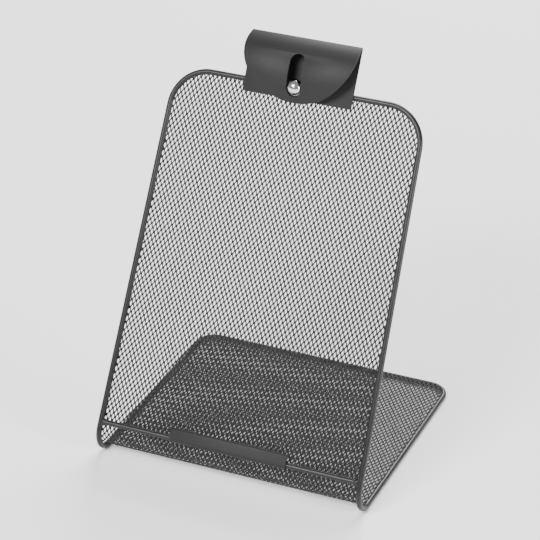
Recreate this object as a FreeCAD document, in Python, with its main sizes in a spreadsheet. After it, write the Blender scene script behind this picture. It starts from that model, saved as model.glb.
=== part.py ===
import FreeCAD, Part
import math
import os
import re
import Sketcher

# Desktop copy holder: a folded expanded-metal sheet on a bent wire frame, a ledge that the
# paper stands on, and a clip at the top in which a loose steel ball pins the paper.
# Millimetres, +Z up, +X to the reader's right, the reader sits on the -Y side.
# The "corner" is the point where the centrelines of the leaning panel and the flat base
# would meet. Heights are measured from it up the panel, depths from it along the base.

Vector = FreeCAD.Vector
doc = FreeCAD.newDocument("copy_holder")
sheet = doc.addObject("Spreadsheet::Sheet", "Sizes")

# Driving sizes. Lengths in millimetres, angles in degrees.
DRIVING = {
    "wire_diameter": 4.8,
    "lean_angle": 29.1,
    "front_width": 238.6,
    "top_width": 223.2,
    "panel_length": 337.5,
    "base_depth": 226.9,
    "front_bend_radius": 17.2,
    "top_corner_radius": 32,
    "rear_corner_radius": 16,
    "seam_gap": 0.05,
    "mesh_thickness": 0.6,
    "mesh_side_lap": 0.9,
    "crossbar_height": 33.3,
    "bar_root_gap": 0.2,
    "bar_weld_radius": 2.75,
    "bar_weld_inset": 2.2,
    "bar_weld_forward": 0.75,
    "ledge_width": 104,
    "ledge_rise": 8.8,
    "ledge_thickness": 1,
    "ledge_bend_radius": 1.4,
    "ledge_wrap_angle": 110,
    "clip_thickness": 1.2,
    "clip_foot_drop": 10.1,
    "clip_rise": 40.8,
    "clip_fold_radius": 1.8,
    "clip_fold_angle": 129.5,
    "flap_radius": 35.57,
    "flap_angle": 76,
    "flap_tip_length": 12,
    "clip_blank_width": 110,
    "clip_outline_half_width": 48.8,
    "clip_outline_half_height": 45,
    "clip_outline_rise": 31.7,
    "slot_width": 12.3,
    "slot_length": 34.9,
    "slot_drop": 8.4,
    "slot_cut_start": 6,
    "slot_cut_depth": 20,
    "ball_diameter": 14,
    "ball_rest_drop": 0.2,
    "ball_clearance": 0.08,
    "clip_weld_radius": 1.3,
    "clip_weld_length": 12,
    "clip_weld_spacing": 26,
    "clip_weld_rise": 2.5,
    "clip_weld_forward": 1.45,
}

# Sizes that follow from the driving ones.
DERIVED = {
    "wire_radius": "wire_diameter / 2",
    "side_half": "front_width / 2 - wire_radius",
    "taper_angle": "atan((front_width - top_width) / 2 / panel_length)",
    "bend_turn": "90 + asin(cos(taper_angle) * sin(lean_angle)) / 1 deg",
    "bend_tilt": "atan(tan(taper_angle) / cos(lean_angle))",
    "bend_tangent": "front_bend_radius * tan(bend_turn / 2)",
    "corner_back": "-(bend_tangent - front_bend_radius - wire_radius + base_depth) / 2",
    "top_wire_height": "panel_length - wire_radius",
    "rear_wire_depth": "base_depth - wire_radius",
    "mesh_face": "wire_radius + seam_gap",
    "ledge_height": "crossbar_height + ledge_rise",
    "mesh_half": "side_half + mesh_side_lap",
    "mesh_foot_half": "mesh_half - bend_tangent * tan(taper_angle)",
    "fold_radius": "front_bend_radius - mesh_face",
    "fold_turn": "90 + lean_angle",
    "bar_half": "side_half - crossbar_height * tan(taper_angle)",
    "crossbar_half": "bar_half - wire_radius - bar_root_gap",
    "clip_face": "mesh_face + clip_thickness",
    "ball_radius": "ball_diameter / 2",
    "ball_forward": "clip_face + ball_clearance + ball_radius",
    "clip_foot_height": "top_wire_height - clip_foot_drop",
    "clip_top_height": "top_wire_height + clip_rise",
    "clip_outline_centre": "top_wire_height + clip_outline_rise",
    "slot_bottom": "top_wire_height - slot_drop",
    "clip_back_half": (
        "clip_outline_half_width * sqrt(1 - ((clip_rise - clip_outline_rise)"
        " / clip_outline_half_height) ^ 2)"
    ),
    "slot_low_centre": "slot_bottom + slot_width / 2",
    "slot_high_centre": "slot_bottom + slot_length - slot_width / 2",
    "ball_rest_height": "top_wire_height - ball_rest_drop",
    "clip_weld_height": "top_wire_height + clip_weld_rise",
}

row = 0
for alias, value in DRIVING.items():
    row += 1
    sheet.set(f"A{row}", alias)
    sheet.set(f"B{row}", str(value))
    sheet.setAlias(f"B{row}", alias)
for alias, formula in DERIVED.items():
    row += 1
    sheet.set(f"A{row}", alias)
    sheet.set(f"B{row}", "=" + formula)
    sheet.setAlias(f"B{row}", alias)
doc.recompute()


def on_sheet(formula):
    """Point every size named in a formula at its cell on the sheet."""
    def cell(match):
        word = match.group(0)
        return "Sizes." + word if word in DRIVING or word in DERIVED else word
    return re.sub(r"[a-z_]+", cell, formula)


def number(formula):
    """Present value of a formula in the sheet's sizes."""
    result = sheet.evalExpression(on_sheet(formula))
    return float(getattr(result, "Value", result))


def bind(item, bindings):
    """Tie properties of an object to formulas in the sheet's sizes."""
    for prop, formula in bindings.items():
        item.setExpression(prop, on_sheet(formula))


def add_object(kind, label, bindings=None, **properties):
    """Make a document object with plain and bound properties."""
    item = doc.addObject(kind, label)
    item.Label = label
    for prop, value in properties.items():
        setattr(item, prop, value)
    bind(item, bindings or {})
    return item


def turned(axis, angle=0):
    """Placement at the origin turned about an axis."""
    return FreeCAD.Placement(Vector(0, 0, 0), FreeCAD.Rotation(axis, angle))


def spot_on_panel(height, forward):
    """Bindings that put an object at a height up the panel and a distance in front of it."""
    return {
        "Placement.Base.y": f"corner_back + {height} * sin(lean_angle) - {forward} * cos(lean_angle)",
        "Placement.Base.z": f"wire_radius + {height} * cos(lean_angle) + {forward} * sin(lean_angle)",
    }


# A piece drawn upright, with its X-Z plane through the panel's wires, is laid back on to the
# leaning panel by this placement.
LEANING = {
    "Placement.Base.y": "corner_back",
    "Placement.Base.z": "wire_radius",
    "Placement.Rotation.Angle": "lean_angle",
}
# A piece drawn in the plane of the base wires only needs lifting to their height.
LYING = {
    "Placement.Base.y": "corner_back",
    "Placement.Base.z": "wire_radius",
}


def constrain(sketch, name, formula, *reference):
    """Add one dimension to a sketch, bound to the sheet."""
    value = number(formula)
    if reference[0] == "Angle":
        value = math.radians(value)
    index = sketch.addConstraint(Sketcher.Constraint(*reference, value))
    sketch.renameConstraint(index, name)
    bind(sketch, {"Constraints." + name: formula})


def relate(sketch, *relations):
    """Add the geometric relations of a sketch."""
    for relation in relations:
        sketch.addConstraint(Sketcher.Constraint(*relation))


def trim(label, blank, neighbours):
    """Cut a piece back to the faces of the pieces it sits against."""
    for neighbour in neighbours:
        name = label if neighbour is neighbours[-1] else f"{label}_off_{neighbour.Label}"
        blank = add_object("Part::Cut", name, Base=blank, Tool=neighbour)
    return blank


def origin_plane(body, role):
    """One of a body's own three base planes."""
    return [plane for plane in body.Origin.OriginFeatures if plane.Role == role][0]


def sketch_in(body, plane, label, offset=None):
    """Empty sketch on a body's base plane, moved off the plane by a bound distance."""
    sketch = body.newObject("Sketcher::SketchObject", label)
    sketch.AttachmentSupport = [(origin_plane(body, plane), "")]
    sketch.MapMode = "FlatFace"
    if offset:
        bind(sketch, {"AttachmentOffset.Base.z": offset})
    return sketch


def draw_half_loop(sketch, reach, corner, foot_half, foot, side_angle):
    """Half of a round-cornered frame side: out from the middle, round the corner, to the foot."""
    top, radius = number(reach), number(corner)
    foot_x, foot_y = number(foot_half), number(foot)
    lean_in = math.radians(number(side_angle)) - math.pi / 2
    centre_y = top - radius
    centre_x = foot_x - (centre_y - foot_y) * math.tan(lean_in) - radius / math.cos(lean_in)
    centre = Vector(centre_x, centre_y, 0)
    on_side = centre + Vector(math.cos(lean_in), math.sin(lean_in), 0) * radius
    circle = Part.Circle(centre, Vector(0, 0, 1), radius)
    sketch.addGeometry(Part.LineSegment(Vector(0, top, 0), Vector(centre_x, top, 0)))
    sketch.addGeometry(Part.ArcOfCircle(circle, lean_in, math.pi / 2))
    sketch.addGeometry(Part.LineSegment(Vector(foot_x, foot_y, 0), on_side))
    relate(
        sketch,
        ("PointOnObject", 0, 1, -2),
        ("Horizontal", 0),
        ("Tangent", 0, 2, 1, 2),
        ("Tangent", 2, 2, 1, 1),
    )
    constrain(sketch, "Reach", reach, "DistanceY", -1, 1, 0, 1)
    constrain(sketch, "Corner", corner, "Radius", 1)
    constrain(sketch, "FootHalf", foot_half, "DistanceX", -1, 1, 2, 1)
    constrain(sketch, "Foot", foot, "DistanceY", -1, 1, 2, 1)
    constrain(sketch, "SideAngle", side_angle, "Angle", 2)


def close_half_loop(sketch):
    """Close a half loop along its foot and its middle line, to make a sheet's half outline."""
    foot_corner = sketch.Geometry[2].StartPoint
    top_middle = sketch.Geometry[0].StartPoint
    foot_middle = Vector(0, foot_corner.y, 0)
    sketch.addGeometry(Part.LineSegment(foot_corner, foot_middle))
    sketch.addGeometry(Part.LineSegment(foot_middle, top_middle))
    relate(
        sketch,
        ("Coincident", 2, 1, 3, 1),
        ("Coincident", 3, 2, 4, 1),
        ("Coincident", 4, 2, 0, 1),
        ("Horizontal", 3),
        ("Vertical", 4),
    )


def draw_wire_section(sketch, across, up):
    """Round section of the wire, centred at bound distances from the sketch's origin."""
    centre = Vector(number(across), number(up), 0)
    sketch.addGeometry(Part.Circle(centre, Vector(0, 0, 1), number("wire_radius")))
    constrain(sketch, "Radius", "wire_radius", "Radius", 0)
    if across == "0":
        relate(sketch, ("PointOnObject", 0, 3, -2))
    else:
        constrain(sketch, "Across", across, "DistanceX", -1, 1, 0, 3)
    if up == "0":
        relate(sketch, ("PointOnObject", 0, 3, -1))
    else:
        constrain(sketch, "Up", up, "DistanceY", -1, 1, 0, 3)


def sweep(body, section, path, edges):
    """Round wire drawn along a sketched path."""
    pipe = body.newObject("PartDesign::AdditivePipe", body.Label + "_run")
    pipe.Profile = section
    pipe.Spine = (path, [f"Edge{number}" for number in range(1, edges + 1)])
    return pipe


def mirror_across(body, feature):
    """Complete a body whose right-hand half has been made."""
    mirrored = body.newObject("PartDesign::Mirrored", body.Label + "_halves")
    mirrored.Originals = [feature]
    mirrored.MirrorPlane = (origin_plane(body, "YZ_Plane"), [""])
    body.Tip = mirrored


# Panel wire: up one side of the leaning panel, round the two top corners and down again.
# The sides draw together towards the top.
panel_wire = add_object("PartDesign::Body", "panel_wire", LEANING, Placement=turned(Vector(-1, 0, 0), 1))
panel_path = sketch_in(panel_wire, "XZ_Plane", "panel_path")
draw_half_loop(
    panel_path,
    "top_wire_height",
    "top_corner_radius",
    "side_half - bend_tangent * sin(taper_angle)",
    "bend_tangent * cos(taper_angle)",
    "90 + taper_angle / 1 deg",
)
panel_section = sketch_in(panel_wire, "YZ_Plane", "panel_section")
draw_wire_section(panel_section, "0", "top_wire_height")
mirror_across(panel_wire, sweep(panel_wire, panel_section, panel_path, 3))

# Base wire: the same rod along both sides of the base and across its rear edge, where it
# stands on the desk.
base_wire = add_object("PartDesign::Body", "base_wire", LYING)
base_path = sketch_in(base_wire, "XY_Plane", "base_path")
draw_half_loop(
    base_path, "rear_wire_depth", "rear_corner_radius", "side_half", "bend_tangent", "90"
)
base_section = sketch_in(base_wire, "YZ_Plane", "base_section")
draw_wire_section(base_section, "rear_wire_depth", "0")
mirror_across(base_wire, sweep(base_wire, base_section, base_path, 3))

# Front bends: where the rod turns from the base up into the panel, left and right. Each bend
# lies in a plane that leans in a little, so that it meets the tapering side squarely.
right_bend = add_object(
    "PartDesign::Body",
    "right_bend",
    {
        "Placement.Base.x": "side_half",
        "Placement.Base.y": "corner_back",
        "Placement.Base.z": "wire_radius",
        "Placement.Rotation.Angle": "bend_tilt",
    },
    Placement=turned(Vector(0, -1, 0), 1),
)
bend_path = sketch_in(right_bend, "YZ_Plane", "bend_path")
bend_centre = Vector(number("bend_tangent"), number("front_bend_radius"), 0)
bend_circle = Part.Circle(bend_centre, Vector(0, 0, 1), number("front_bend_radius"))
bend_start = 1.5 * math.pi - math.radians(number("bend_turn"))
bend_path.addGeometry(Part.ArcOfCircle(bend_circle, bend_start, 1.5 * math.pi))
relate(bend_path, ("Vertical", 0, 3, 0, 2))
constrain(bend_path, "Reach", "bend_tangent", "DistanceX", -1, 1, 0, 3)
constrain(bend_path, "Rise", "front_bend_radius", "DistanceY", -1, 1, 0, 3)
constrain(bend_path, "Radius", "front_bend_radius", "Radius", 0)
constrain(bend_path, "Turn", "bend_turn", "Angle", 0)
bend_section = sketch_in(right_bend, "XZ_Plane", "bend_section", "-bend_tangent")
draw_wire_section(bend_section, "0", "0")
sweep(right_bend, bend_section, bend_path, 1)
left_bend = add_object("Part::Mirroring", "left_bend", Source=right_bend, Normal=Vector(1, 0, 0))
front_bends = add_object("Part::Compound", "front_bends", Links=[right_bend, left_bend])

# Crossbar: a straight length of the same rod between the sides, low on the panel. Its square
# ends stop a little short of the side wires, and the weld fills the root.
crossbar = add_object(
    "Part::Cylinder",
    "crossbar",
    {
        "Radius": "wire_radius",
        "Height": "crossbar_half * 2",
        "Placement.Base.x": "-crossbar_half",
        **spot_on_panel("crossbar_height", "0"),
    },
    Placement=turned(Vector(0, 1, 0), 90),
)

# Crossbar welds: one smooth bead at each end of the crossbar, built up on its front side.
bar_bead_blanks = []
for side, sign in (("right", ""), ("left", "-")):
    blank = add_object(
        "Part::Sphere",
        side + "_weld_blank",
        {
            "Radius": "bar_weld_radius",
            "Placement.Base.x": sign + "(bar_half - bar_weld_inset)",
            **spot_on_panel("crossbar_height", "bar_weld_forward"),
        },
        Placement=turned(Vector(1, 0, 0), 90),
    )
    bar_bead_blanks.append(blank)
bar_beads = add_object("Part::Compound", "bar_beads", Links=bar_bead_blanks)
crossbar_welds = trim("crossbar_welds", bar_beads, (panel_wire, crossbar))

# Panel mesh: expanded metal lying against the back of the panel's wires, given here as a
# plain sheet, with the fold that carries it round into the base.
panel_sheet = add_object("PartDesign::Body", "panel_sheet", LEANING, Placement=turned(Vector(-1, 0, 0), 1))
panel_outline = sketch_in(panel_sheet, "XZ_Plane", "panel_outline", "-mesh_face")
draw_half_loop(
    panel_outline,
    "panel_length",
    "top_corner_radius + mesh_side_lap",
    "mesh_foot_half",
    "bend_tangent",
    "90 + taper_angle / 1 deg",
)
close_half_loop(panel_outline)
panel_pad = panel_sheet.newObject("PartDesign::Pad", "panel_pad")
panel_pad.Profile = panel_outline
panel_pad.Reversed = True
bind(panel_pad, {"Length": "mesh_thickness"})
mirror_across(panel_sheet, panel_pad)

fold_placement = {
    "Placement.Base.x": "mesh_foot_half",
    "Placement.Base.y": "corner_back + bend_tangent",
    "Placement.Base.z": "wire_radius + front_bend_radius",
}
# The cylinder's sector opens from straight down, through the front, to the panel.
fold_turning = FreeCAD.Placement(
    Vector(0, 0, 0), FreeCAD.Rotation(Vector(0, -1, 0), 90) * FreeCAD.Rotation(Vector(0, 0, 1), 180)
)
fold_outer = add_object(
    "Part::Cylinder",
    "fold_outer",
    {"Radius": "fold_radius", "Height": "mesh_foot_half * 2", "Angle": "fold_turn", **fold_placement},
    Placement=fold_turning,
)
fold_inner = add_object(
    "Part::Cylinder",
    "fold_inner",
    {"Radius": "fold_radius - mesh_thickness", "Height": "mesh_foot_half * 2", **fold_placement},
    Placement=fold_turning,
)
fold = add_object("Part::Cut", "fold", Base=fold_outer, Tool=fold_inner)
panel_mesh = add_object("Part::Fuse", "panel_mesh", Base=panel_sheet, Tool=fold, Refine=True)

# Base mesh: the same sheet carried on over the top of the base wires.
base_mesh = add_object("PartDesign::Body", "base_mesh", LYING)
base_outline = sketch_in(base_mesh, "XY_Plane", "base_outline", "mesh_face")
draw_half_loop(
    base_outline,
    "base_depth",
    "rear_corner_radius + mesh_side_lap",
    "mesh_half",
    "bend_tangent",
    "90",
)
close_half_loop(base_outline)
base_pad = base_mesh.newObject("PartDesign::Pad", "base_pad")
base_pad.Profile = base_outline
bind(base_pad, {"Length": "mesh_thickness"})
mirror_across(base_mesh, base_pad)

# The bent-sheet pieces are drawn from the side as one line of bends in an upright plane whose
# first axis runs to the rear and second runs up the panel.
SIDE_VIEW = turned(Vector(1, 1, 1), 120)

# Ledge plate: wraps under and in front of the crossbar, rises a little above it and is bent
# back to the mesh as the narrow shelf that the paper's bottom edge stands on.
ledge_line = add_object("Sketcher::SketchObject", "ledge_line", Placement=SIDE_VIEW)
bar_top, face = number("crossbar_height"), number("mesh_face")
wrap = math.radians(number("ledge_wrap_angle"))
ledge_inner = number("ledge_bend_radius - ledge_thickness")
shelf_under = number("ledge_height - ledge_thickness")
wrap_circle = Part.Circle(Vector(0, bar_top, 0), Vector(0, 0, 1), face)
ledge_corner = Vector(ledge_inner - face, shelf_under - ledge_inner, 0)
corner_circle = Part.Circle(ledge_corner, Vector(0, 0, 1), ledge_inner)
ledge_line.addGeometry(Part.ArcOfCircle(wrap_circle, math.pi, math.pi + wrap))
ledge_line.addGeometry(Part.LineSegment(Vector(-face, bar_top, 0), Vector(-face, ledge_corner.y, 0)))
ledge_line.addGeometry(Part.ArcOfCircle(corner_circle, math.pi / 2, math.pi))
ledge_line.addGeometry(
    Part.LineSegment(Vector(ledge_corner.x, shelf_under, 0), Vector(number("wire_radius"), shelf_under, 0))
)
relate(
    ledge_line,
    ("PointOnObject", 0, 3, -2),
    ("Tangent", 0, 1, 1, 1),
    ("Vertical", 1),
    ("Tangent", 1, 2, 2, 2),
    ("Tangent", 2, 1, 3, 1),
    ("Horizontal", 3),
)
constrain(ledge_line, "BarHeight", "crossbar_height", "DistanceY", -1, 1, 0, 3)
constrain(ledge_line, "WrapRadius", "mesh_face", "Radius", 0)
constrain(ledge_line, "WrapTurn", "ledge_wrap_angle", "Angle", 0)
constrain(ledge_line, "BendRadius", "ledge_bend_radius - ledge_thickness", "Radius", 2)
constrain(ledge_line, "ShelfUnder", "ledge_height - ledge_thickness", "DistanceY", -1, 1, 3, 1)
constrain(ledge_line, "ShelfEnd", "wire_radius", "DistanceX", -1, 1, 3, 2)
ledge_section = add_object(
    "Part::Offset2D", "ledge_section", {"Value": "ledge_thickness"}, Source=ledge_line, Mode="Skin", Fill=True
)
ledge_plate = add_object(
    "Part::Extrusion",
    "ledge_plate",
    {"LengthFwd": "ledge_width", **LEANING},
    Base=ledge_section,
    DirMode="Normal",
    Symmetric=True,
    Solid=True,
    Placement=turned(Vector(-1, 0, 0), 1),
)

# Clip: one steel sheet, flat against the top wire at the back, folded tightly over at the top
# and curving down in front as a rounded flap whose tip comes back towards the paper.
clip_line = add_object("Sketcher::SketchObject", "clip_line", Placement=SIDE_VIEW)
fold_r, flap_r = number("clip_fold_radius"), number("flap_radius")
fold_end = math.radians(number("clip_fold_angle"))
flap_end = fold_end + math.radians(number("flap_angle"))
fold_centre = Vector(-face - fold_r, number("clip_top_height") - fold_r, 0)
fold_exit = Vector(math.cos(fold_end), math.sin(fold_end), 0)
flap_exit = Vector(math.cos(flap_end), math.sin(flap_end), 0)
flap_centre = fold_centre + fold_exit * (fold_r - flap_r)
tip_start = flap_centre + flap_exit * flap_r
tip_run = Vector(-flap_exit.y, flap_exit.x, 0) * number("flap_tip_length")
back_foot = Vector(-face, number("clip_foot_height"), 0)
clip_line.addGeometry(Part.LineSegment(back_foot, Vector(-face, fold_centre.y, 0)))
clip_line.addGeometry(Part.ArcOfCircle(Part.Circle(fold_centre, Vector(0, 0, 1), fold_r), 0, fold_end))
clip_line.addGeometry(
    Part.ArcOfCircle(Part.Circle(flap_centre, Vector(0, 0, 1), flap_r), fold_end, flap_end)
)
clip_line.addGeometry(Part.LineSegment(tip_start, tip_start + tip_run))
relate(
    clip_line,
    ("Vertical", 0),
    ("Tangent", 0, 2, 1, 1),
    ("Tangent", 1, 2, 2, 1),
    ("Tangent", 2, 2, 3, 1),
)
constrain(clip_line, "BackFace", "mesh_face", "DistanceX", 0, 1, -1, 1)
constrain(clip_line, "Foot", "clip_foot_height", "DistanceY", -1, 1, 0, 1)
constrain(clip_line, "FoldHeight", "clip_top_height - clip_fold_radius", "DistanceY", -1, 1, 1, 3)
constrain(clip_line, "FoldRadius", "clip_fold_radius", "Radius", 1)
constrain(clip_line, "FoldTurn", "clip_fold_angle", "Angle", 1)
constrain(clip_line, "FlapRadius", "flap_radius", "Radius", 2)
constrain(clip_line, "FlapTurn", "flap_angle", "Angle", 2)
constrain(clip_line, "TipLength", "flap_tip_length", "Distance", 3)
clip_section = add_object(
    "Part::Offset2D", "clip_section", {"Value": "-clip_thickness"}, Source=clip_line, Mode="Skin", Fill=True
)
clip_blank = add_object(
    "Part::Extrusion",
    "clip_blank",
    {"LengthFwd": "clip_blank_width"},
    Base=clip_section,
    DirMode="Normal",
    Symmetric=True,
    Solid=True,
)
clip_oval = add_object(
    "Part::Ellipse",
    "clip_oval",
    {
        "MajorRadius": "clip_outline_half_width",
        "MinorRadius": "clip_outline_half_height",
        "Placement.Base.y": "-mesh_face - clip_fold_radius",
        "Placement.Base.z": "clip_outline_centre",
    },
    Placement=turned(Vector(1, 0, 0), 90),
)
flap_outline = add_object(
    "Part::Extrusion",
    "flap_outline",
    {"LengthFwd": "clip_blank_width / 2"},
    Base=clip_oval,
    DirMode="Custom",
    Dir=Vector(0, -1, 0),
    Solid=True,
)
# The back plate keeps the straight sides that it has at the fold.
back_outline = add_object(
    "Part::Box",
    "back_outline",
    {
        "Length": "clip_back_half * 2",
        "Width": "mesh_face + clip_fold_radius",
        "Height": "clip_top_height - clip_foot_height",
        "Placement.Base.x": "-clip_back_half",
        "Placement.Base.y": "-mesh_face - clip_fold_radius",
        "Placement.Base.z": "clip_foot_height",
    },
)
clip_outline = add_object("Part::MultiFuse", "clip_outline", Shapes=[flap_outline, back_outline])
clip_uncut = add_object("Part::Common", "clip_uncut", Base=clip_blank, Tool=clip_outline)

# The upright slot in the flap lets the ball show through and be pushed up by a finger.
slot_back = "-(slot_cut_start + slot_cut_depth)"
slot_middle = add_object(
    "Part::Box",
    "slot_middle",
    {
        "Length": "slot_width",
        "Width": "slot_cut_depth",
        "Height": "slot_length - slot_width",
        "Placement.Base.x": "-slot_width / 2",
        "Placement.Base.y": slot_back,
        "Placement.Base.z": "slot_low_centre",
    },
)
slot_parts = [slot_middle]
for end in ("low", "high"):
    round_end = add_object(
        "Part::Cylinder",
        f"slot_{end}_end",
        {
            "Radius": "slot_width / 2",
            "Height": "slot_cut_depth",
            "Placement.Base.y": slot_back,
            "Placement.Base.z": f"slot_{end}_centre",
        },
        Placement=turned(Vector(-1, 0, 0), 90),
    )
    slot_parts.append(round_end)
slot_tool = add_object("Part::MultiFuse", "slot_tool", Shapes=slot_parts)
clip = add_object(
    "Part::Cut", "clip", LEANING, Base=clip_uncut, Tool=slot_tool, Placement=turned(Vector(-1, 0, 0), 1)
)

# Clip welds: three short beads in the groove between the clip's back and the top wire.
bead_blanks = []
for place, middle in (("left", "-clip_weld_spacing"), ("middle", "0"), ("right", "clip_weld_spacing")):
    blank = add_object(
        "Part::Cylinder",
        place + "_bead_blank",
        {
            "Radius": "clip_weld_radius",
            "Height": "clip_weld_length",
            "Placement.Base.x": f"{middle} - clip_weld_length / 2",
            **spot_on_panel("clip_weld_height", "clip_weld_forward"),
        },
        Placement=turned(Vector(0, 1, 0), 90),
    )
    bead_blanks.append(blank)
clip_beads = add_object("Part::Compound", "clip_beads", Links=bead_blanks)
clip_welds = trim("clip_welds", clip_beads, (panel_wire, clip))

# Ball: a loose polished steel ball between the clip's back plate and flap. It is shown at
# the bottom of its travel, where it wedges in the slot's lower end.
ball = add_object(
    "Part::Sphere", "ball", {"Radius": "ball_radius", **spot_on_panel("ball_rest_height", "ball_forward")}
)

NODES = (
    panel_wire,
    base_wire,
    front_bends,
    crossbar,
    crossbar_welds,
    panel_mesh,
    base_mesh,
    ledge_plate,
    clip,
    clip_welds,
    ball,
)

doc.recompute()
for item in doc.Objects:
    if "Invalid" in item.State or "Error" in item.State:
        raise RuntimeError(f"{item.Label} did not rebuild: {item.State}")
for node in NODES:
    if node.Shape.isNull() or not node.Shape.isValid():
        raise RuntimeError(f"{node.Label} has no valid shape")

os.makedirs("parts", exist_ok=True)
for node in NODES:
    node.Shape.exportStep(f"parts/{node.Label}.step")
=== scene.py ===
"""The looks of a desktop copy holder: a bent steel rod, expanded mesh, a ledge and a ball clip."""
import math

import bpy
from mathutils import Matrix, Vector


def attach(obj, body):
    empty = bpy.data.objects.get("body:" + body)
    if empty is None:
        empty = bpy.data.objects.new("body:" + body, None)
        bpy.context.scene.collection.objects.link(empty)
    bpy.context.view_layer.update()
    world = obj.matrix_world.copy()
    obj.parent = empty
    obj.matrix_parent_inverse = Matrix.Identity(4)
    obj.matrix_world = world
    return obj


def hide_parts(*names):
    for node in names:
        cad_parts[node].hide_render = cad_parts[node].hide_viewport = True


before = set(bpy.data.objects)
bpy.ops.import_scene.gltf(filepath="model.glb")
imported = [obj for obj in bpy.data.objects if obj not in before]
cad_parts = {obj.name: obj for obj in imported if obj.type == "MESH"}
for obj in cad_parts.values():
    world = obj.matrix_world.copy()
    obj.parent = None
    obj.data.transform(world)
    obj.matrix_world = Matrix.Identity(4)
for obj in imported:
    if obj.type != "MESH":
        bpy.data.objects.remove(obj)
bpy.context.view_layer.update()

# ---------------------------------------------------------------------------------------------
# Rod loop. The real piece is one length of 4.8 mm mild-steel rod, bent cold round formers and
# butt-welded into a closed loop, then powder coated in charcoal together with everything that
# is welded to it.
# ---------------------------------------------------------------------------------------------
ROD_RADIUS = 0.0024
ROD_FACETS = 24
BEND_STEPS = 24
REAR_CORNER_STEPS = 16
LEAN = math.radians(29.1)  # of the panel, back from upright
TAPER = math.radians(1.307)  # of each side of the panel, inward
SIDE_HALF = 0.1169  # half the width, to the middle of the rod
BEND_RADIUS = 0.0172
REAR_WIRE_DEPTH = 0.2245  # from the line where base and panel would meet without a bend
REAR_CORNER_RADIUS = 0.016
TOP_WIRE_HEIGHT = 0.3351  # up the slope, from the same line
TOP_CORNER_RADIUS = 0.032

# The front bends turn the rod from the base into a panel that leans back and narrows.
BEND_TURN = math.acos(-math.cos(TAPER) * math.sin(LEAN))
BEND_TILT = math.atan(math.tan(TAPER) / math.cos(LEAN))
BEND_TANGENT = BEND_RADIUS * math.tan(BEND_TURN / 2)
CORNER_BACK = -(REAR_WIRE_DEPTH + BEND_TANGENT - BEND_RADIUS) / 2

# The frame in which the leaning panel stands upright: X across, Y to its rear, Z up its slope.
PANEL_FRAME = Matrix.Translation((0, CORNER_BACK, ROD_RADIUS)) @ Matrix.Rotation(-LEAN, 4, "X")

# The coat: its colour, how far its tone strays, how deep its peel is, and the number of
# features to the metre of its mottling, peel, patches of gloss and grain.
CHARCOAL = (0.013, 0.013, 0.0137)
TONE_SPREAD = 0.12
PEEL_DEPTH = 0.00006
MOTTLING, PEEL, GLOSS_PATCHES, GRAIN = 120, 700, 400, 9000


def on_panel(across, up, forward):
    """Place on the leaning panel, measured across it, up its slope and in front of its rods."""
    return PANEL_FRAME @ Vector((across, -forward, up))


def start(name, add, **settings):
    """Add one primitive on its own and open it for editing, with all of it selected."""
    bpy.ops.object.select_all(action="DESELECT")
    add(**settings)
    piece = bpy.context.object
    piece.name = piece.data.name = name
    bpy.ops.object.mode_set(mode="EDIT")
    bpy.ops.mesh.select_all(action="SELECT")
    return piece


def extrude(*move):
    """Draw the selection out along a straight line."""
    bpy.ops.mesh.extrude_region_move(TRANSFORM_OT_translate={"value": move})


def spin(centre, axis, angle, steps):
    """Carry the selection round an axis, turning by the right-hand rule."""
    bpy.ops.mesh.spin(steps=steps, angle=-angle, center=centre, axis=axis)


def close_mesh(merge=1e-6):
    """Weld doubled vertices and face everything outward."""
    bpy.ops.mesh.select_all(action="SELECT")
    bpy.ops.mesh.remove_doubles(threshold=merge)
    bpy.ops.mesh.normals_make_consistent(inside=False)


def modify(piece, kind, **settings):
    """Apply one modifier at once."""
    modifier = piece.modifiers.new(kind.title(), kind)
    for setting, value in settings.items():
        setattr(modifier, setting, value)
    bpy.ops.object.modifier_apply(modifier=modifier.name)


def finish_piece(piece, body, nodes, finish, smooth_below=40):
    """Shade, paint and hang a finished piece on the body that carries it."""
    if piece.mode == "EDIT":
        bpy.ops.object.mode_set(mode="OBJECT")
    bpy.ops.object.shade_smooth_by_angle(angle=math.radians(smooth_below))
    piece.data.materials.clear()
    piece.data.materials.append(finish)
    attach(piece, body)
    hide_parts(*nodes)


class Value:
    """A number that varies over a surface, usable in plain arithmetic."""

    def __init__(self, paint, socket):
        self.paint = paint
        self.socket = socket

    def _math(self, operation, first, second):
        node = self.paint.node("ShaderNodeMath", {"operation": operation}, {0: first, 1: second})
        return Value(self.paint, node.outputs[0])

    def __add__(self, other):
        return self._math("ADD", self, other)

    def __radd__(self, other):
        return self._math("ADD", other, self)

    def __mul__(self, other):
        return self._math("MULTIPLY", self, other)

    def __rmul__(self, other):
        return self._math("MULTIPLY", other, self)


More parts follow.
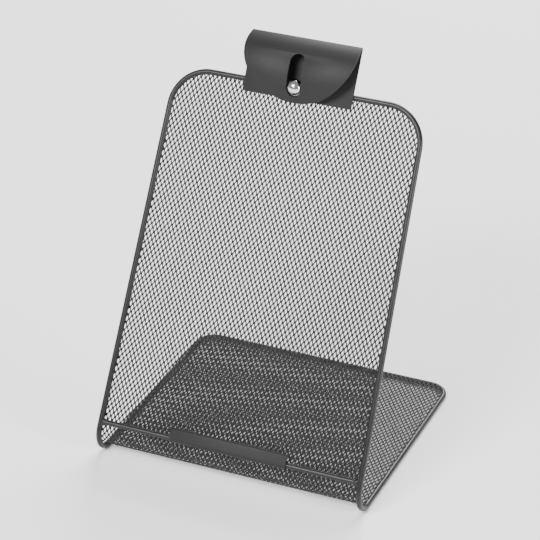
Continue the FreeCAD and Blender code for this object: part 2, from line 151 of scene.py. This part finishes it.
class Paint:
    """A material under construction."""

    def __init__(self, name, numbers):
        self.material = bpy.data.materials.new(name)
        self.material.use_nodes = True
        self.tree = self.material.node_tree
        self.surface = self.tree.nodes["Principled BSDF"]
        for socket, number in numbers.items():
            self.surface.inputs[socket].default_value = number
        self.place = self.node("ShaderNodeTexCoord").outputs["Object"]

    def node(self, kind, settings=None, inputs=None):
        """Add one node, with its settings and what goes into its sockets."""
        node = self.tree.nodes.new(kind)
        for setting, value in (settings or {}).items():
            setattr(node, setting, value)
        for key, value in (inputs or {}).items():
            value = getattr(value, "socket", value)
            if isinstance(value, bpy.types.NodeSocket):
                self.tree.links.new(value, node.inputs[key])
            else:
                node.inputs[key].default_value = value
        return node

    def noise(self, per_metre, detail=2.0, stretch=(1, 1, 1)):
        """Soft random variation with this many features to the metre."""
        place = self.node("ShaderNodeVectorMath", {"operation": "MULTIPLY"}, {0: self.place, 1: stretch})
        inputs = {"Vector": place.outputs[0], "Scale": per_metre, "Detail": detail}
        return Value(self, self.node("ShaderNodeTexNoise", {}, inputs).outputs["Fac"])

    def drive(self, socket, value):
        """Let a value, or a node's output, set one of the surface's sockets."""
        self.tree.links.new(getattr(value, "socket", value), self.surface.inputs[socket])

    def colour(self, amount, low, high):
        """Vary the base colour between two colours."""
        ends = {0: amount, 6: (*low, 1), 7: (*high, 1)}
        self.drive("Base Color", self.node("ShaderNodeMix", {"data_type": "RGBA"}, ends).outputs[2])

    def bump(self, height, depth):
        """Raise and lower the surface by up to this depth."""
        bump = self.node("ShaderNodeBump", {}, {"Height": height, "Distance": depth})
        self.drive("Normal", bump.outputs["Normal"])


def powder_coat(name, tone, peel, roughness):
    """Semi-gloss charcoal powder coat: orange peel, a fine grain and a slight unevenness. A tone below 1
    gives a darker copy of the same coat, as painted shade.
    """
    coat = Paint(name, {"IOR": 1.38})
    darkest = [channel * tone * (1 - TONE_SPREAD) for channel in CHARCOAL]
    lightest = [channel * tone * (1 + TONE_SPREAD) for channel in CHARCOAL]
    coat.colour(coat.noise(MOTTLING, 4.0), darkest, lightest)
    grain = coat.noise(GRAIN)
    coat.drive("Roughness", roughness + 0.10 * coat.noise(GLOSS_PATCHES, 3.0) + 0.06 * grain)
    coat.bump(coat.noise(PEEL, 1.0) * peel + grain * 0.12, PEEL_DEPTH)
    return coat.material


rod_coat = powder_coat("charcoal_on_rod", tone=1.0, peel=1.0, roughness=0.28)
rear = CORNER_BACK + REAR_WIRE_DEPTH
corner_x = SIDE_HALF - REAR_CORNER_RADIUS
rod = start(
    "rod_loop",
    bpy.ops.mesh.primitive_circle_add,
    vertices=ROD_FACETS,
    radius=ROD_RADIUS,
    location=(0, rear, ROD_RADIUS),
    rotation=(0, math.pi / 2, 0),
)
extrude(corner_x, 0, 0)
rear_corner = (corner_x, rear - REAR_CORNER_RADIUS, ROD_RADIUS)
spin(rear_corner, (0, 0, -1), math.pi / 2, REAR_CORNER_STEPS)
extrude(0, BEND_TANGENT - REAR_WIRE_DEPTH + REAR_CORNER_RADIUS, 0)
bend_centre = (
    SIDE_HALF - BEND_RADIUS * math.sin(BEND_TILT),
    CORNER_BACK + BEND_TANGENT,
    ROD_RADIUS + BEND_RADIUS * math.cos(BEND_TILT),
)
spin(bend_centre, (-math.cos(BEND_TILT), 0, -math.sin(BEND_TILT)), BEND_TURN, BEND_STEPS)
foot_up = BEND_TANGENT * math.cos(TAPER)
foot_x = SIDE_HALF - BEND_TANGENT * math.sin(TAPER)
top_centre_up = TOP_WIRE_HEIGHT - TOP_CORNER_RADIUS
side_x = foot_x - (top_centre_up - foot_up) * math.tan(TAPER)
top_centre_x = side_x - TOP_CORNER_RADIUS / math.cos(TAPER)
side_top_x = top_centre_x + TOP_CORNER_RADIUS * math.cos(TAPER)
side_top_up = top_centre_up + TOP_CORNER_RADIUS * math.sin(TAPER)
extrude(*(on_panel(side_top_x, side_top_up, 0) - on_panel(foot_x, foot_up, 0)))
panel_normal = on_panel(0, 0, 1) - on_panel(0, 0, 0)
spin(on_panel(top_centre_x, top_centre_up, 0), panel_normal, math.pi / 2 - TAPER, BEND_STEPS)
extrude(-top_centre_x, 0, 0)
bpy.ops.object.mode_set(mode="OBJECT")
bpy.ops.object.transform_apply()
modify(rod, "MIRROR", use_axis=(True, False, False), use_clip=True, merge_threshold=1e-5)
bpy.ops.object.mode_set(mode="EDIT")
close_mesh()
finish_piece(rod, "stand", ("panel_wire", "base_wire", "front_bends"), rod_coat)

# ---------------------------------------------------------------------------------------------
# Crossbar and its welds. The real bar is a straight length of the same rod, cut square and
# butted between the loop's sides; each end has a smooth fillet of weld drawn round it and
# spread up and down the side rod.
# ---------------------------------------------------------------------------------------------
BAR_UP = 0.0333
BAR_HALF = SIDE_HALF - BAR_UP * math.tan(TAPER)  # to the middle of the side rods
BAR_REACH = BAR_HALF - ROD_RADIUS
# Rings of a fillet: distance in from the side rod's middle, half height up the slope, half depth.
FILLET_RINGS = (
    (0.0056, 0.00242, 0.00242),
    (0.0046, 0.00256, 0.00256),
    (0.0037, 0.00285, 0.00278),
    (0.0029, 0.00330, 0.00290),
    (0.0021, 0.00395, 0.00285),
    (0.0012, 0.00470, 0.00240),
)


def lay_back(piece):
    """Lay a piece that was made in the upright panel frame back on to the leaning panel."""
    if piece.mode == "EDIT":
        bpy.ops.object.mode_set(mode="OBJECT")
    bpy.ops.object.transform_apply()
    piece.matrix_world = PANEL_FRAME
    bpy.ops.object.transform_apply()


bar = start(
    "crossbar_rod",
    bpy.ops.mesh.primitive_cylinder_add,
    vertices=ROD_FACETS,
    radius=ROD_RADIUS,
    depth=2 * BAR_REACH,
    location=(0, 0, BAR_UP),
    rotation=(0, math.pi / 2, 0),
)
lay_back(bar)
finish_piece(bar, "stand", ("crossbar",), rod_coat)

(inset_before, height_before, depth_before), *further_rings = FILLET_RINGS
first_ring = (BAR_HALF - inset_before, 0, BAR_UP)
fillet = start(
    "crossbar_fillets",
    bpy.ops.mesh.primitive_circle_add,
    vertices=ROD_FACETS,
    radius=1,
    location=first_ring,
    rotation=(0, math.pi / 2, 0),
)
bpy.ops.transform.resize(value=(1, depth_before, height_before), center_override=first_ring)
for inset, height, depth in further_rings:
    extrude(inset_before - inset, 0, 0)
    growth = (1, depth / depth_before, height / height_before)
    bpy.ops.transform.resize(value=growth, center_override=(BAR_HALF - inset, 0, BAR_UP))
    inset_before, height_before, depth_before = inset, height, depth
bpy.ops.object.mode_set(mode="OBJECT")
bpy.ops.object.transform_apply()
modify(fillet, "SUBSURF", levels=1, render_levels=1)
modify(fillet, "MIRROR", use_axis=(True, False, False))
bpy.ops.object.mode_set(mode="EDIT")
bpy.ops.mesh.select_all(action="DESELECT")
bpy.ops.mesh.select_non_manifold()
bpy.ops.mesh.fill_holes(sides=0)
close_mesh()
lay_back(fillet)
weld_coat = powder_coat("charcoal_on_weld", tone=1.0, peel=1.6, roughness=0.34)
finish_piece(fillet, "stand", ("crossbar_welds",), weld_coat)

# ---------------------------------------------------------------------------------------------
# Expanded mesh. The real piece is one sheet of thin steel, slit and stretched into diamonds
# whose long way runs from front to rear, so that every strand lies on a slight slant. It is
# trimmed to the loop's outline, folded at the front and tacked to the backs of the rods.
# ---------------------------------------------------------------------------------------------
PITCH_ACROSS = 0.0040
PITCH_ALONG = 0.00655
STRAND = 0.00115
KNUCKLE = 0.0013  # length of the short join between two strands
STEEL = 0.00046
SLANT = math.radians(11)  # of every strand, out of the sheet's plane
SKEW = math.radians(3.8)  # of the rows of diamonds, against the sheet's edges
MESH_FACE = 0.00245  # from the rods' middle to the face that lies on them
MESH_MIDDLE = 0.0003  # from that face to the layer that keeps its length in the fold
SIDE_SHORT = 0.0004  # how far short of the side rods' middle the sheet is trimmed
REAR_SHORT = 0.0010  # the same at the rear wire; at the top it is trimmed at the rod's middle
CORNER_CUTS = 9
NEAR = 1e-6

MESH_HALF = SIDE_HALF - SIDE_SHORT
FOLD_RADIUS = BEND_RADIUS - MESH_FACE
FOLD_TURN = math.pi / 2 + LEAN
FOLD_RUN = (FOLD_RADIUS - MESH_MIDDLE) * FOLD_TURN
# Flat lengths from the line where the fold starts, back over the base and on up the panel.
BASE_RUN = REAR_WIRE_DEPTH - BEND_TANGENT
PANEL_RUN = FOLD_RUN + TOP_WIRE_HEIGHT - BEND_TANGENT


def select_edges(piece, wanted):
    """Select only the edges whose middle passes a test, and leave the piece open for editing."""
    bpy.ops.object.mode_set(mode="EDIT")
    bpy.ops.mesh.select_all(action="DESELECT")
    bpy.ops.object.mode_set(mode="OBJECT")
    for edge in piece.data.edges:
        one, other = (piece.data.vertices[index].co for index in edge.vertices)
        edge.select = wanted((one + other) / 2)
    bpy.ops.object.mode_set(mode="EDIT")


def knuckle_field(name, back, ahead):
    """A flat field of joined diamonds, at least this long behind the fold line and ahead of it."""
    field = start(
        name,
        bpy.ops.mesh.primitive_grid_add,
        x_subdivisions=2,
        y_subdivisions=1,
        size=1,
    )
    bpy.ops.transform.resize(value=(2 * STRAND, KNUCKLE, 1))
    bpy.ops.transform.rotate(value=SLANT, orient_axis="Y", center_override=(0, 0, 0))
    rise = math.sin(SLANT) * STRAND
    reach = PITCH_ACROSS / 2 - math.cos(SLANT) * STRAND
    for side in (1, -1):
        select_edges(field, lambda at: abs(at.y - KNUCKLE / 2) < NEAR and at.x * side > 0)
        extrude(side * reach, PITCH_ALONG / 2 - KNUCKLE, -side * rise)
    bpy.ops.mesh.select_all(action="SELECT")
    half_step = (PITCH_ACROSS / 2, PITCH_ALONG / 2, 0)
    bpy.ops.mesh.duplicate_move(TRANSFORM_OT_translate={"value": half_step})
    bpy.ops.mesh.select_all(action="SELECT")
    # The skew takes length from the field's corners and width from its far ends.
    skew_along = MESH_HALF * math.sin(SKEW)
    rows_back, rows_ahead = (
        math.ceil((length + skew_along) / PITCH_ALONG) + 1 for length in (back, ahead)
    )
    skew_across = max(rows_back, rows_ahead) * PITCH_ALONG * math.sin(SKEW)
    columns_each_side = math.ceil((MESH_HALF + skew_across) / PITCH_ACROSS) + 1
    corner = (-columns_each_side * PITCH_ACROSS, -rows_back * PITCH_ALONG, 0)
    bpy.ops.transform.translate(value=corner)
    bpy.ops.object.mode_set(mode="OBJECT")
    for count, step in (
        (2 * columns_each_side + 1, (PITCH_ACROSS, 0, 0)),
        (rows_back + rows_ahead, (0, PITCH_ALONG, 0)),
    ):
        modify(
            field,
            "ARRAY",
            count=count,
            use_relative_offset=False,
            use_constant_offset=True,
            constant_offset_displace=step,
        )
    bpy.ops.object.mode_set(mode="EDIT")
    close_mesh(2 * NEAR)
    bpy.ops.transform.rotate(value=SKEW, orient_axis="Z", center_override=(0, 0, 0))
    bpy.ops.object.mode_set(mode="OBJECT")
    modify(field, "SOLIDIFY", thickness=STEEL, offset=0)
    bpy.ops.object.mode_set(mode="EDIT")
    return field


def trim(x, along, out_x, out_along):
    """Shear off everything beyond a line through a point, and close the cut ends."""
    bpy.ops.mesh.select_all(action="SELECT")
    bpy.ops.mesh.bisect(
        plane_co=(x, along, 0), plane_no=(out_x, out_along, 0), use_fill=True, clear_outer=True
    )


def trim_corners(centre_x, centre_along, reaches, side_lean, way):
    """Trim the rounded corners left and right of one end, each as a run of short straight cuts.

    reaches is a corner's radius at its side and at its end, side_lean how far the sheet's side
    leans inward, and way the end's direction along the sheet.
    """
    side_reach, end_reach = reaches
    for cut in range(CORNER_CUTS):
        angle = side_lean + (math.pi / 2 - side_lean) * (cut + 0.5) / CORNER_CUTS
        out_x, out_along = math.cos(angle), math.sin(angle)
        reach = side_reach * out_x**2 + end_reach * out_along**2
        for side in (1, -1):
            at_x = side * (centre_x + reach * out_x)
            trim(at_x, centre_along + way * reach * out_along, side * out_x, way * out_along)


def fold(field):
    """Carry the flat sheet up off the base, round the fold and on up the panel."""
    bpy.ops.object.mode_set(mode="OBJECT")
    face = max(vertex.co.z for vertex in field.data.vertices)
    for vertex in field.data.vertices:
        along, depth = vertex.co.y, face - vertex.co.z
        turn = min(max(along / FOLD_RUN, 0), 1) * FOLD_TURN
        straight = min(along, 0) + max(along - FOLD_RUN, 0)
        radius = FOLD_RADIUS - depth
        from_front = radius * math.sin(turn) + straight * math.cos(turn)
        from_centre = radius * math.cos(turn) - straight * math.sin(turn)
        vertex.co.y = CORNER_BACK + BEND_TANGENT - from_front
        vertex.co.z = ROD_RADIUS + BEND_RADIUS - from_centre
    bpy.ops.object.mode_set(mode="EDIT")
    close_mesh(NEAR / 10)


# The mesh wears the rods' own coat; its tone of 0.5 is painted shade that darkens the thin strands.
mesh_coat_with_painted_shade = powder_coat("charcoal_with_painted_shade_on_mesh", tone=0.5, peel=0.8, roughness=0.62)
base_mesh = knuckle_field("base_expanded_mesh", BASE_RUN, 0)
trim(0, 0, 0, 1)
trim(0, REAR_SHORT - BASE_RUN, 0, -1)
for side in (1, -1):
    trim(side * MESH_HALF, 0, side, 0)
base_reaches = (REAR_CORNER_RADIUS - SIDE_SHORT, REAR_CORNER_RADIUS - REAR_SHORT)
trim_corners(corner_x, REAR_CORNER_RADIUS - BASE_RUN, base_reaches, 0, -1)
fold(base_mesh)
finish_piece(base_mesh, "stand", ("base_mesh",), mesh_coat_with_painted_shade, smooth_below=30)

panel_mesh = knuckle_field("panel_expanded_mesh", 0, PANEL_RUN)
trim(0, 0, 0, -1)
trim(0, PANEL_RUN, 0, 1)
for side in (1, -1):
    trim(side * MESH_HALF, 0, side * math.cos(TAPER), math.sin(TAPER))
panel_reaches = (TOP_CORNER_RADIUS - SIDE_SHORT, TOP_CORNER_RADIUS)
trim_corners(top_centre_x, PANEL_RUN - TOP_CORNER_RADIUS, panel_reaches, TAPER, 1)
fold(panel_mesh)
finish_piece(panel_mesh, "stand", ("panel_mesh",), mesh_coat_with_painted_shade, smooth_below=30)

# ---------------------------------------------------------------------------------------------
# Ledge plate. The real piece is a strip of 1 mm steel folded round the front of the crossbar:
# it hugs the bar from below, rises in front of it and turns back to the mesh as a narrow shelf.
# ---------------------------------------------------------------------------------------------
LEDGE_WIDTH = 0.104
LEDGE_STEEL = 0.001
LEDGE_UP = 0.0411
LEDGE_BEND = 0.0004
LEDGE_WRAP = math.radians(110)  # how far the strip follows the bar round
LEDGE_BEND_STEPS = 6
LEDGE_WRAP_STEPS = 16
EDGE_ROUND = 0.00035
SHARP_EDGE = math.radians(50)


def start_strip(name, width, first, second):
    """Start a strip of sheet this wide, with a first straight run and its far edge selected.

    first and second are the run's ends in the upright panel frame, each as depth and height.
    """
    piece = start(name, bpy.ops.mesh.primitive_plane_add, size=width)
    bpy.ops.object.mode_set(mode="OBJECT")
    for vertex in piece.data.vertices:
        vertex.co.yz = first if vertex.co.y < 0 else second
    select_edges(piece, lambda at: (at.yz - Vector(second)).length < NEAR)
    return piece


def thicken(piece, thickness, towards):
    """Give a strip its thickness on one side, the one that its first run has in this direction."""
    close_mesh()
    bpy.ops.object.mode_set(mode="OBJECT")
    if piece.data.polygons[0].normal.dot(Vector(towards)) < 0:
        piece.data.flip_normals()
    modify(piece, "SOLIDIFY", thickness=thickness, offset=1, use_even_offset=True)
    bpy.ops.object.mode_set(mode="EDIT")
    close_mesh()
    bpy.ops.object.mode_set(mode="OBJECT")


def round_edges(piece):
    """Take the sharpness off the cut edges of a sheet."""
    modify(piece, "BEVEL", width=EDGE_ROUND, segments=2, limit_method="ANGLE", angle_limit=SHARP_EDGE)


bend_depth = LEDGE_BEND - MESH_FACE
ledge = start_strip("ledge_plate_folded", LEDGE_WIDTH, (ROD_RADIUS, LEDGE_UP), (bend_depth, LEDGE_UP))
spin((0, bend_depth, LEDGE_UP - LEDGE_BEND), (1, 0, 0), math.pi / 2, LEDGE_BEND_STEPS)
extrude(0, 0, BAR_UP - LEDGE_UP + LEDGE_BEND)
spin((0, 0, BAR_UP), (1, 0, 0), LEDGE_WRAP, LEDGE_WRAP_STEPS)
thicken(ledge, LEDGE_STEEL, (0, 0, 1))
round_edges(ledge)
lay_back(ledge)
# The ledge and clip wear the rods' own coat; their tone of 0.9 is painted shade that darkens them
# slightly.
sheet_coat_with_painted_shade = powder_coat("charcoal_with_painted_shade_on_sheet", tone=0.9, peel=1.0, roughness=0.50)
finish_piece(ledge, "stand", ("ledge_plate",), sheet_coat_with_painted_shade)

# ---------------------------------------------------------------------------------------------
# Clip. The real piece is one blank of 1.2 mm steel with an oval front and a round-ended slot,
# folded tightly over at the top and rolled into a hollow flap that holds the ball captive. Its
# back plate is laid against the top of the loop and held by three short welds.
# ---------------------------------------------------------------------------------------------
CLIP_STEEL = 0.0012
CLIP_FOOT = 0.3250
CLIP_TOP = 0.3759
CLIP_FOLD = 0.0018
CLIP_FOLD_TURN = math.radians(129.5)
FLAP_RADIUS = 0.03557
FLAP_TURN = math.radians(76)
FLAP_TIP = 0.012
BLANK_WIDTH = 0.110
OVAL_HALF_WIDTH = 0.0488
OVAL_HALF_HEIGHT = 0.045
OVAL_UP = 0.3668
SLOT_WIDTH = 0.0123
SLOT_LENGTH = 0.0349
SLOT_FOOT = 0.3267
CLIP_FOLD_STEPS = 14
FLAP_STEPS = 36
OVAL_FACETS = 160
SLOT_FACETS = 48
SPARE = 0.015  # how far a cutter reaches past what it cuts
CUT_OVERLAP = 0.0001

fold_depth = -MESH_FACE - CLIP_FOLD
fold_up = CLIP_TOP - CLIP_FOLD
clip = start_strip("clip_folded", BLANK_WIDTH, (-MESH_FACE, CLIP_FOOT), (-MESH_FACE, fold_up))
fold_middle = Vector((0, fold_depth, fold_up))
spin(fold_middle, (1, 0, 0), CLIP_FOLD_TURN, CLIP_FOLD_STEPS)
fold_way = Vector((0, math.cos(CLIP_FOLD_TURN), math.sin(CLIP_FOLD_TURN)))
flap_middle = fold_middle + fold_way * (CLIP_FOLD - FLAP_RADIUS)
spin(flap_middle, (1, 0, 0), FLAP_TURN, FLAP_STEPS)
tip_turn = CLIP_FOLD_TURN + FLAP_TURN
extrude(0, -math.sin(tip_turn) * FLAP_TIP, math.cos(tip_turn) * FLAP_TIP)
thicken(clip, CLIP_STEEL, (0, -1, 0))


def cutter(name, add, **settings):
    """A helper solid for shaping another piece, removed once it has been used."""
    solid = start(name, add, **settings)
    bpy.ops.object.mode_set(mode="OBJECT")
    bpy.ops.object.transform_apply()
    return solid


def block(name, corner, far_corner):
    """A box-shaped cutter between two opposite corners."""
    middle = [(a + b) / 2 for a, b in zip(corner, far_corner)]
    spans = [abs(a - b) for a, b in zip(corner, far_corner)]
    return cutter(name, bpy.ops.mesh.primitive_cube_add, size=1, location=middle, scale=spans)


def post(name, facets, radius, middle, depth, stretch=1):
    """A round cutter that points through the panel, stretched in height."""
    return cutter(
        name,
        bpy.ops.mesh.primitive_cylinder_add,
        vertices=facets,
        radius=radius,
        depth=depth,
        location=middle,
        rotation=(math.pi / 2, 0, 0),
        scale=(1, stretch, 1),
    )


def shape_with(piece, operation, solid):
    """Cut a piece with a helper solid, or join the solid to it."""
    bpy.ops.object.select_all(action="DESELECT")
    piece.select_set(True)
    bpy.context.view_layer.objects.active = piece
    modify(piece, "BOOLEAN", operation=operation, object=solid, solver="EXACT")
    bpy.data.objects.remove(solid)


# Everything in front of the fold that lies outside the oval is waste, and so are the two strips
# beside the back plate, which is as wide as the oval is at the fold.
waste_half = BLANK_WIDTH / 2 + SPARE
waste_front = flap_middle.y - FLAP_RADIUS - CLIP_STEEL - SPARE
waste_top = CLIP_TOP + SPARE
front_waste = block(
    "front_waste",
    (-waste_half, waste_front, OVAL_UP - OVAL_HALF_HEIGHT - SPARE),
    (waste_half, fold_depth, waste_top),
)
oval_middle = (0, (waste_front + fold_depth) / 2, OVAL_UP)
oval_depth = fold_depth - waste_front + SPARE
oval_stretch = OVAL_HALF_HEIGHT / OVAL_HALF_WIDTH
oval = post("oval_cutter", OVAL_FACETS, OVAL_HALF_WIDTH, oval_middle, oval_depth, oval_stretch)
shape_with(front_waste, "DIFFERENCE", oval)
shape_with(clip, "DIFFERENCE", front_waste)
back_half = OVAL_HALF_WIDTH * math.sqrt(1 - ((CLIP_TOP - OVAL_UP) / OVAL_HALF_HEIGHT) ** 2)
for side in (1, -1):
    side_waste = block(
        "side_waste",
        (side * back_half, fold_depth - CUT_OVERLAP, CLIP_FOOT - SPARE),
        (side * waste_half, SPARE, waste_top),
    )
    shape_with(clip, "DIFFERENCE", side_waste)
slot_low = SLOT_FOOT + SLOT_WIDTH / 2
slot_high = SLOT_FOOT + SLOT_LENGTH - SLOT_WIDTH / 2
slot_rear = fold_depth - CLIP_STEEL
slot_cutter = block(
    "slot_cutter",
    (-SLOT_WIDTH / 2, waste_front, slot_low),
    (SLOT_WIDTH / 2, slot_rear, slot_high),
)
for end_up in (slot_low, slot_high):
    end_middle = (0, (waste_front + slot_rear) / 2, end_up)
    end = post("slot_end_cutter", SLOT_FACETS, SLOT_WIDTH / 2, end_middle, slot_rear - waste_front)
    shape_with(slot_cutter, "UNION", end)
shape_with(clip, "DIFFERENCE", slot_cutter)
round_edges(clip)
lay_back(clip)
finish_piece(clip, "stand", ("clip",), sheet_coat_with_painted_shade)

# ---------------------------------------------------------------------------------------------
# Clip welds. The real beads are three short runs of weld in the groove between the clip's back
# plate and the top of the loop, each a row of overlapping ripples.
# ---------------------------------------------------------------------------------------------
BEAD_RADIUS = 0.0013
BEAD_LENGTH = 0.012
BEAD_SPACING = 0.026
BEAD_UP = 0.3376
BEAD_FORWARD = 0.00145
BEAD_RIPPLES = 9
BEAD_FACETS = 16
# Shares of the bead's radius: at its start, through one ripple, and by how much its end shrinks.
BEAD_START = 0.45
RIPPLE = (0.86, 1.0, 0.9)
BEAD_END = 0.62

beads = start(
    "clip_weld_beads",
    bpy.ops.mesh.primitive_circle_add,
    vertices=BEAD_FACETS,
    radius=BEAD_RADIUS * BEAD_START,
    fill_type="NGON",
    location=(-BEAD_LENGTH / 2, -BEAD_FORWARD, BEAD_UP),
    rotation=(0, math.pi / 2, 0),
)
bead_sizes = [size for ripple in range(BEAD_RIPPLES) for size in RIPPLE]
bead_sizes[-1] *= BEAD_END
step = BEAD_LENGTH / len(bead_sizes)
size_before = BEAD_START
for count, size in enumerate(bead_sizes, start=1):
    extrude(step, 0, 0)
    ring_middle = (count * step - BEAD_LENGTH / 2, -BEAD_FORWARD, BEAD_UP)
    growth = size / size_before
    bpy.ops.transform.resize(value=(1, growth, growth), center_override=ring_middle)
    size_before = size
close_mesh()
bpy.ops.object.mode_set(mode="OBJECT")
bpy.ops.object.transform_apply()
modify(
    beads,
    "ARRAY",
    count=3,
    use_relative_offset=False,
    use_constant_offset=True,
    constant_offset_displace=(BEAD_SPACING, 0, 0),
)
bpy.ops.object.mode_set(mode="EDIT")
bpy.ops.mesh.select_all(action="SELECT")
bpy.ops.transform.translate(value=(-BEAD_SPACING, 0, 0))
lay_back(beads)
finish_piece(beads, "stand", ("clip_welds",), weld_coat)

# ---------------------------------------------------------------------------------------------
# Ball. The real piece is a loose 14 mm polished steel ball, bright as a bearing, with the hair
# lines that it gathers from rolling in the clip.
# ---------------------------------------------------------------------------------------------
BALL_RADIUS = 0.007
BALL_UP = 0.3349
BALL_FORWARD = 0.01073
DULL_STEEL = (0.66, 0.66, 0.65)
BRIGHT_STEEL = (0.76, 0.76, 0.75)
CLOUDS, HAIRLINES = 300, 1400  # to the metre
HAIRLINE_DEPTH = 0.000004

steel = Paint("polished_steel", {"Metallic": 1.0})
steel.colour(steel.noise(CLOUDS), DULL_STEEL, BRIGHT_STEEL)
one_way = steel.noise(HAIRLINES, 3.0, (1, 8, 1))
other_way = steel.noise(HAIRLINES, 3.0, (8, 1, 5))
scratches = one_way * 0.5 + other_way * 0.5
steel.drive("Roughness", 0.07 + 0.10 * scratches)
steel.bump(scratches, HAIRLINE_DEPTH)
ball = start(
    "steel_ball",
    bpy.ops.mesh.primitive_uv_sphere_add,
    segments=64,
    ring_count=32,
    radius=BALL_RADIUS,
    location=on_panel(0, BALL_UP, BALL_FORWARD),
)
bpy.ops.object.mode_set(mode="OBJECT")
bpy.ops.object.transform_apply()
finish_piece(ball, "ball", ("ball",), steel.material, smooth_below=80)

# ---------------------------------------------------------------------------------------------
# Setting: a plain pale floor, a soft studio of large lamps and the camera.
# ---------------------------------------------------------------------------------------------
FLOOR_SIZE = 12
AIM = Vector((0, 0, 0.14))
LAMPS = (
    # name, place, size, power
    ("key", (-0.6, -2.0, 1.9), 1.1, 108),
    ("side", (2.0, -0.5, 0.7), 0.4, 36),
    ("back", (-0.8, 2.3, 1.6), 0.4, 30),
    ("top", (0.1, 2.0, 2.3), 1.8, 135),
)
SKY_STRENGTH = 0.35
CAMERA_PLACE = (0.7141, -1.6652, 1.1594)
CAMERA_PITCH = math.radians(60.854)
CAMERA_TURN = math.radians(23.416)
LENS = 167.39
SENSOR_WIDTH = 36

floor_paint = Paint("pale_floor", {"Roughness": 0.9})
floor_paint.colour(floor_paint.noise(3, 1.0), (0.93, 0.93, 0.93), (0.95, 0.95, 0.95))
floor = start("floor", bpy.ops.mesh.primitive_plane_add, size=FLOOR_SIZE)
bpy.ops.object.mode_set(mode="OBJECT")
floor.data.materials.append(floor_paint.material)

world = bpy.data.worlds.new("studio")
world.use_nodes = True
sky = world.node_tree.nodes["Background"]
sky.inputs["Color"].default_value = (1, 1, 1, 1)
sky.inputs["Strength"].default_value = SKY_STRENGTH
bpy.context.scene.world = world

for name, place, size, power in LAMPS:
    lamp = bpy.data.objects.new(name, bpy.data.lights.new(name, "AREA"))
    lamp.data.size = size
    lamp.data.energy = power
    lamp.location = place
    lamp.rotation_euler = (AIM - Vector(place)).to_track_quat("-Z", "Y").to_euler()
    bpy.context.scene.collection.objects.link(lamp)

camera = bpy.data.objects.new("camera", bpy.data.cameras.new("camera"))
camera.data.lens = LENS
camera.data.sensor_width = SENSOR_WIDTH
camera.location = CAMERA_PLACE
camera.rotation_euler = (CAMERA_PITCH, 0, CAMERA_TURN)
bpy.context.scene.collection.objects.link(camera)
bpy.context.scene.camera = camera
